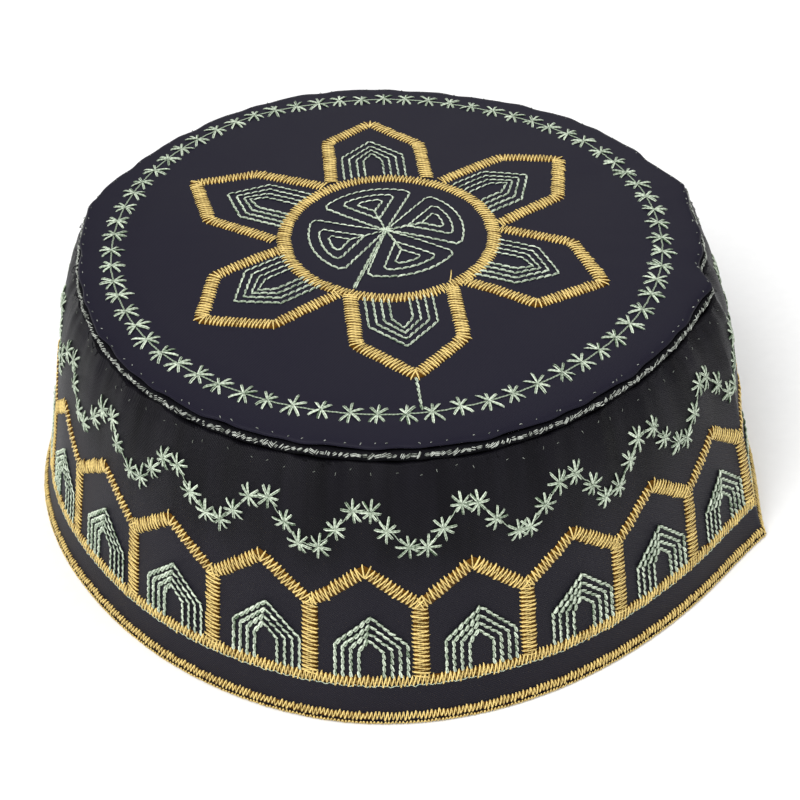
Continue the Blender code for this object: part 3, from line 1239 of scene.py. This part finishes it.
PETALS = (
    Petal(94.6, ((24.7, -11.9), (42.0, -11.3), (54.8, 0.8), (45.3, 12.9), (24.7, 13.1)), -0.3, 1.6),
    Petal(154.0, ((24.7, -12.1), (44.4, -10.9), (57.2, -1.4), (44.7, 12.9), (24.7, 14.6)), 1.3, 0.7),
    Petal(215.4, ((24.7, -10.6), (44.2, -11.3), (55.6, 0.8), (43.5, 13.9), (24.7, 13.5)), 0.9, 0.2),
    Petal(275.8, ((24.7, -12.4), (43.9, -12.5), (55.9, -0.1), (44.2, 12.3), (24.7, 12.3)), 0.9, -1.0),
    Petal(-23.8, ((24.7, -12.0), (43.8, -13.8), (55.5, 1.0), (43.6, 13.3), (24.7, 12.5)), -0.3, -0.4),
    Petal(34.4, ((24.7, -12.5), (44.5, -11.6), (56.4, 2.7), (44.4, 12.1), (24.7, 12.1)), -0.9, 0.6),
)

# Stars off an even ring, every 20 degrees from -80 on: degrees anticlockwise and millimetres outward
DRIFT_DEG = np.arange(-80.0, 261.0, 20.0)
DRIFT_ROUND = (-0.1, -0.2, 0.2, 0.4, 0.3, -0.1, -0.7, -1.7, -1.3, -1.1, -1.5, -1.8, -2.3, -1.8, -0.6, 0.2, 0.0, -0.1)
DRIFT_OUT = (0.5, -0.2, -0.3, 0.1, 0.2, 0.5, 0.4, -1.4, -1.3, -0.5, 1.2, 1.1, 0.1, -0.8, -0.7, -0.1, -0.4, 0.0)

# Nested quarters in the rosette's middle: start, radius, and half the angle in degrees
QUARTERS = ((0.0, 19.4, 37.5), (5.6, 16.7, 25.0), (9.4, 14.5, 14.0))

# How far some uprights of the arches stand from their even places, counted from the front
UPRIGHT_SHIFTS = {-4: -0.1, -3: 1.3, -2: 1.1, -1: 0.2, 0: -0.1, 1: -0.4, 2: -0.5, 3: -0.3, 4: -0.4}


class HouseLine(NamedTuple):
    """One of the nested green outlines: half its width, and the heights of its shoulders and its tip."""

    half_width: float
    shoulder: float
    tip: float


@dataclass
class CrownEmbroidery:
    """The crown's stitches: a gold rosette with green houses in its petals, a round middle and a ring of stars."""

    form: CapForm
    ring_radius: float = 26.2
    ring_centre: tuple[float, float] = (-0.25, -0.85)
    satin: tuple[float, float, float] = (3.5, 0.47, 0.34)
    tail_thread: float = 0.34
    green_line: float = 0.58
    green_link: float = 2.0
    house_foot: float = 0.9
    middle: tuple[float, float] = (-1.0, 0.3)
    quarter_axes: tuple[float, ...] = (18.0, 107.6, 199.6, 293.0)
    star_centre: tuple[float, float] = (-1.4, 0.75)
    star_radius: float = 68.9
    star_count: int = 69
    star_first_deg: float = -91.6
    star_reach: float = 3.15
    star_thread: float = 0.33
    star_arms: tuple[float, ...] = (42, 84, 128, -48, -92, -134)
    link_thread: float = 0.19
    prick_count: int = 120
    prick_inset: float = 0.9
    prick_width: float = 0.21
    seed: int = 17
    houses: tuple[HouseLine, ...] = (
        HouseLine(8.1, 36.8, 45.0), HouseLine(6.2, 36.0, 42.4), HouseLine(4.3, 35.3, 40.2), HouseLine(2.5, 34.6, 38.4),
    )

    def __post_init__(self) -> None:
        """Measure the crown's face once."""
        self.face = CrownFace(self.form)

    @staticmethod
    def turned(points: Points, axis_deg: float) -> Array:
        """Return points given along and beside an axis, turned to where the axis points."""
        places, ahead = np.array(points, dtype=float), bearing(math.radians(axis_deg))
        return places[:, :1] * ahead + places[:, 1:] * leftward(ahead)

    @staticmethod
    def arc(radius: float, start_deg: float, end_deg: float, count: int) -> Array:
        """Return points of an arc about the embroidery's middle."""
        return radius * bearing(np.radians(np.linspace(start_deg, end_deg, count)))

    def build_rosette(self) -> None:
        """Sew the gold ring and its six petals."""
        work = ThreadWork(self.face, self.seed)
        for petal in PETALS:
            work.satin(Line(self.turned(petal.outline, petal.axis_deg)), *self.satin)
        work.satin(Line(self.arc(self.ring_radius, -60.0, 300.0, 181) + self.ring_centre), *self.satin)
        work.strand([(14.7, -16.6), (14.6, -18.4), (14.2, -21.5)], self.tail_thread, tone=0.7)
        work.place("crown_gold_rosette", Cloth.GOLD)

    def build_houses(self) -> None:
        """Sew the nested green outlines inside the petals."""
        work = ThreadWork(self.face, self.seed + 1)
        for petal in PETALS:
            for half, shoulder, tip in self.houses:
                foot = (math.sqrt(self.ring_radius**2 - half**2) + self.house_foot, half)
                side, top = (shoulder + petal.house_along, half), (tip + petal.house_along, 0.0)
                mirror = np.array([1.0, -1.0])
                outline = np.array([foot * mirror, side * mirror, top, side, foot]) + [0.0, petal.house_beside]
                work.chain(Line(self.turned(outline, petal.axis_deg)), self.green_link, self.green_line)
        work.place("crown_green_houses", Cloth.GREEN)

    def build_middle(self) -> None:
        """Sew the four nested quarters in the ring, their spokes and the tie lines."""
        work = ThreadWork(self.face, self.seed + 2)
        for axis in self.quarter_axes:
            for start, radius, half in QUARTERS:
                first, last = self.arc(radius * 0.95, -half, half, 2)
                bow = self.arc(radius, 4.0 - half, half - 4.0, 10)
                outline = Line(self.turned([(start, 0.0), first, *bow, last, (start, 0.0)], axis) + self.middle)
                work.chain(outline, self.green_link, self.green_line * 0.92, tone=0.62)
            spoke = Line(self.turned([(0.0, 0.0), (9.6, 0.0)], axis) + self.middle)
            work.chain(spoke, self.green_link, self.green_line, tone=0.55)
        for shift in (-0.24, 0.24):
            tie = Line(np.array([self.middle, (-8.7, -23.2)]) + [shift, 0.0])
            work.chain(tie, 2.4, self.green_line, tone=0.42)
        work.chain(Line([(5.3, -56.4), (5.8, -61.0), (6.4, -67.2)]), 1.8, self.green_line * 1.1, tone=0.45)
        work.place("crown_green_middle", Cloth.GREEN)

    def build_star_ring(self) -> None:
        """Sew the ring of stars and the thin threads that link them."""
        work = ThreadWork(self.face, self.seed + 3)
        for number in range(self.star_count):
            turn = self.star_first_deg + 360.0 * number / self.star_count + work.nudge(0.15)
            drift, out = self.star_drift(turn)
            centre = self.star_spot(turn + drift, out + work.nudge(0.15))
            arms = [turn + drift + 90.0 + arm for arm in self.star_arms]
            work.star(centre, arms, self.star_reach, self.star_thread)
        turns = np.linspace(0.0, 360.0, 8 * self.star_count + 1)
        out = self.star_drift(turns)[1] + work.jitter(len(turns), 0.05)
        for shift in (-0.10, 0.10):
            work.strand(self.star_spot(turns, out + shift), self.link_thread, lift=0.6, tone=0.25)
        work.place("crown_star_ring", Cloth.GREEN)

    @staticmethod
    def star_drift(turn_deg: Array | float) -> tuple[Array, Array]:
        """Return how far the stars at a direction lie off an even ring, in degrees and in millimetres outward."""
        return tuple(np.interp(turn_deg, DRIFT_DEG, drift, period=360.0) for drift in (DRIFT_ROUND, DRIFT_OUT))

    def star_spot(self, turn_deg: Array | float, out: Array | float) -> Array:
        """Return places at directions about the star ring's centre and distances outward of the ring."""
        return self.star_centre + np.asarray(self.star_radius + out)[..., None] * bearing(np.radians(turn_deg))

    def build_pricks(self) -> None:
        """Sew the tiny pale specks that show a little inside the crown's edge."""
        work = ThreadWork(self.face, self.seed + 4)
        count = self.prick_count
        turns = np.arange(count) * TURN / count + work.jitter(count, 0.015)
        radius = self.form.seam_radius(turns) - self.prick_inset + work.jitter(count, 0.12)
        centres = radius[:, None] * bearing(turns) - self.face.motif
        heading = turns + math.pi / 2 + work.jitter(count, 0.7)
        places = dashes(centres, heading, PRICK[0] * work.chance.uniform(0.20, 0.65, count)[:, None])
        work.lay(places, PRICK[1], self.prick_width * PRICK[2], work.chance.uniform(0.0, 0.6, count))
        work.place("crown_edge_pricks", Cloth.PALE)

    def build(self) -> None:
        """Sew all of the crown."""
        for sew in (
            self.build_rosette, self.build_houses, self.build_middle, self.build_star_ring, self.build_pricks
        ):
            sew()


@dataclass
class BandEmbroidery:
    """The band's stitches: gold arches on a baseline, green houses inside them and a wave of stars above."""

    form: CapForm
    repeats: int = 22
    first_upright: float = 5.0
    upright_top: float = 32.3
    roof_foot: float = 32.3
    roof_tip: float = 41.9
    baseline: float = 11.6
    baseline_width: float = 3.0
    upright_width: float = 4.1
    roof_width: float = 3.5
    stroke_spacing: float = 0.58
    gold_thread: float = 0.40
    house_shift: float = 1.5
    house_foot: float = 12.4
    green_line: float = 0.80
    roof_line: float = 1.12
    green_link: float = 1.9
    loop_points: int = 1201
    loop_thread: float = 0.26
    star_reach: float = 2.95
    star_thread: float = 0.31
    seed: int = 29
    houses: tuple[HouseLine, ...] = (
        HouseLine(8.5, 21.9, 29.5), HouseLine(6.7, 21.4, 27.3), HouseLine(4.8, 21.0, 25.3), HouseLine(2.9, 20.2, 23.4),
    )

    def __post_init__(self) -> None:
        """Measure the band's face once."""
        self.face = BandFace(self.form, self.baseline)

    def bays(self) -> list[tuple[float, float]]:
        """Pair the uprights.

        Returns:
            The places of those at both sides of each arch, round the cap.
        """
        pitch, half = self.face.length / self.repeats, self.repeats // 2
        uprights = [
            self.first_upright + number * pitch + UPRIGHT_SHIFTS.get(number, 0.0) for number in range(-half, half + 1)
        ]
        return list(zip(uprights, uprights[1:]))

    def build_arches(self) -> None:
        """Sew the gold uprights and roofs."""
        work = ThreadWork(self.face, self.seed)
        for left, right in self.bays():
            tip = (left + right) / 2 + work.nudge(0.2)
            roof = Line([(left, self.roof_foot), (tip, self.roof_tip), (right, self.roof_foot)])
            work.satin(roof, self.roof_width, self.stroke_spacing, self.gold_thread, ragged=0.16)
            upright = Line([(left, self.baseline + 0.6), (left, self.upright_top)])
            work.satin(upright, self.upright_width, self.stroke_spacing, self.gold_thread, bunch=0.2)
        work.place("band_gold_arches", Cloth.GOLD)

    def build_baseline(self) -> None:
        """Sew the gold line that the arches stand on."""
        work = ThreadWork(self.face, self.seed + 1)
        work.satin(self.face.level(self.baseline), self.baseline_width, 0.50, 0.42, bunch=0.28, ragged=0.22)
        work.place("band_gold_baseline", Cloth.GOLD)

    def build_houses(self) -> None:
        """Sew the nested green outlines inside the arches and the thin loops under the baseline."""
        work = ThreadWork(self.face, self.seed + 2)
        for left, right in self.bays():
            centre = (left + right) / 2 + self.house_shift + work.nudge(0.2)
            for number, (half, shoulder, top) in enumerate(self.houses):
                left_side, right_side, tip = centre - half, centre + half, (centre - 0.25 * number, top)
                for width, *points in (
                    (self.green_line, (left_side, self.house_foot), (left_side, shoulder)),
                    (self.roof_line, (left_side, shoulder), tip),
                    (self.green_line, tip, (right_side, shoulder - 0.4), (right_side, self.house_foot)),
                ):
                    work.chain(Line(points), self.green_link, width)
        across = np.linspace(0.0, self.face.length, self.loop_points)
        low = self.baseline - self.baseline_width / 2 + 0.22
        loops = low + ripple(across, LOOP_WAVES) + work.jitter(self.loop_points, 0.05)
        work.strand(np.column_stack([across, loops]), self.loop_thread, lift=0.8, tone=0.45)
        work.place("band_green_houses", Cloth.GREEN)

    def build_wave(self) -> None:
        """Sew the wave of stars and the thin thread that links them."""
        work = ThreadWork(self.face, self.seed + 3)
        centres = []
        for left, right in self.bays():
            tip = (left + right) / 2 - 0.2
            centres += [(left + 2.1, 47.5), (tip - 6.75, 52.0), (tip - 2.5, 56.6)]
            centres += [(tip + 2.5, 56.6), (tip + 6.6, 52.1), (right - 2.1, 47.4)]
        for across, along in centres:
            centre = (across + work.nudge(0.3), along + work.nudge(0.25))
            first = work.chance.uniform(-8.0, 8.0)
            work.star(centre, [first + 45.0 * arm for arm in range(8)], self.star_reach, self.star_thread)
        share = np.linspace(0.0, 1.0, 9)[:, None]
        sag = lifted(0.0 * share, 0.25 * np.sin(share[:, 0] * TURN * 1.5))
        for start, end in zip(np.array(centres), np.array(centres[1:])):
            work.strand(start + (end - start) * share + sag, self.loop_thread, 0.6, 0.3)
        work.place("band_star_wave", Cloth.GREEN)

    def build(self) -> None:
        """Sew all of the band."""
        for sew in (self.build_arches, self.build_baseline, self.build_houses, self.build_wave):
            sew()


@dataclass
class Studio:
    """A pale floor, soft light all round and the camera at the photograph's angle, in metres."""

    floor_half: float = 4.0
    aim: tuple[float, float, float] = (0.00093, 0.0230, 0.0)
    distance: float = 0.4808
    elevation: float = 0.6958
    roll: float = 0.0203
    lens: float = 75.2
    sensor: float = 36.0
    horizon: float = 0.30
    zenith: float = 0.58
    lit_height: float = 0.04

    def build_floor(self) -> None:
        """Lay the floor."""
        mesh = bpy.data.meshes.new("studio_floor")
        corners = [(-1, -1), (1, -1), (1, 1), (-1, 1)]
        mesh.from_pydata([(x * self.floor_half, y * self.floor_half, 0) for x, y in corners], [], [(0, 1, 2, 3)])
        mesh.materials.append(FloorFinish().material())
        floor = bpy.data.objects.new("studio_floor", mesh)
        bpy.context.scene.collection.objects.link(floor)
        floor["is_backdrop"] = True

    def build_light(self, name: str, place: Vector, size: float, watts: float) -> None:
        """Hang one soft square light that looks at the cap.

        Args:
            name: Name of the light.
            place: Where it hangs.
            size: Length of its sides.
            watts: Its power.
        """
        data = bpy.data.lights.new(name, "AREA")
        data.size, data.energy = size, watts
        light = bpy.data.objects.new(name, data)
        light.location = place
        light.rotation_euler = (Vector((0.0, 0.0, self.lit_height)) - place).to_track_quat("-Z", "Y").to_euler()
        bpy.context.scene.collection.objects.link(light)

    def build_surround(self) -> None:
        """Set the even white light that comes from all round."""
        world = bpy.data.worlds.new("studio_surround")
        world.use_nodes = True
        nodes, links = world.node_tree.nodes, world.node_tree.links
        where, split, strength = (nodes.new(f"ShaderNode{kind}") for kind in ("TexCoord", "SeparateXYZ", "MapRange"))
        links.new(where.outputs["Generated"], split.inputs[0])
        links.new(split.outputs["Z"], strength.inputs["Value"])
        strength.inputs["To Min"].default_value = self.horizon
        strength.inputs["To Max"].default_value = self.zenith
        links.new(strength.outputs[0], nodes["Background"].inputs["Strength"])
        nodes["Background"].inputs["Color"].default_value = (1.0, 1.0, 1.0, 1.0)
        bpy.context.scene.world = world

    def build_camera(self) -> None:
        """Stand the camera where the photograph was taken from."""
        data = bpy.data.cameras.new("photo_camera")
        data.lens, data.sensor_width = self.lens, self.sensor
        camera = bpy.data.objects.new("photo_camera", data)
        back = Vector((0.0, -math.cos(self.elevation), math.sin(self.elevation)))
        camera.location = Vector(self.aim) + self.distance * back
        tilt, roll = Euler((math.pi / 2 - self.elevation, 0.0, 0.0)), Euler((0.0, 0.0, -self.roll))
        camera.rotation_euler = (tilt.to_quaternion() @ roll.to_quaternion()).to_euler()
        bpy.context.scene.collection.objects.link(camera)
        bpy.context.scene.camera = camera

    def build(self) -> None:
        """Set up the whole studio."""
        self.build_floor()
        self.build_light("key_light", Vector((-0.55, -0.75, 1.15)), 0.9, 21.0)
        self.build_light("fill_light", Vector((0.95, -0.25, 0.75)), 0.8, 4.0)
        self.build_light("back_light", Vector((0.10, 1.05, 0.95)), 0.9, 3.5)
        self.build_surround()
        self.build_camera()
        bpy.context.scene.view_settings.view_transform = "Standard"


def main() -> None:
    """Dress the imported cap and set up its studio."""
    logging.basicConfig(level=logging.INFO, format="%(message)s")
    solid_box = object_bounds()
    Studio().build()
    CrownPanel(FORM).build()
    BandWall(FORM).build()
    SeamWork(FORM).build()
    HemWork(FORM).build()
    CrownEmbroidery(FORM).build()
    BandEmbroidery(FORM).build()
    boxes = {"solid": solid_box, "dressed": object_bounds()}
    sizes = {name: [list(map(float, corner)) for corner in box] for name, box in boxes.items()}


if __name__ == "__main__":
    main()
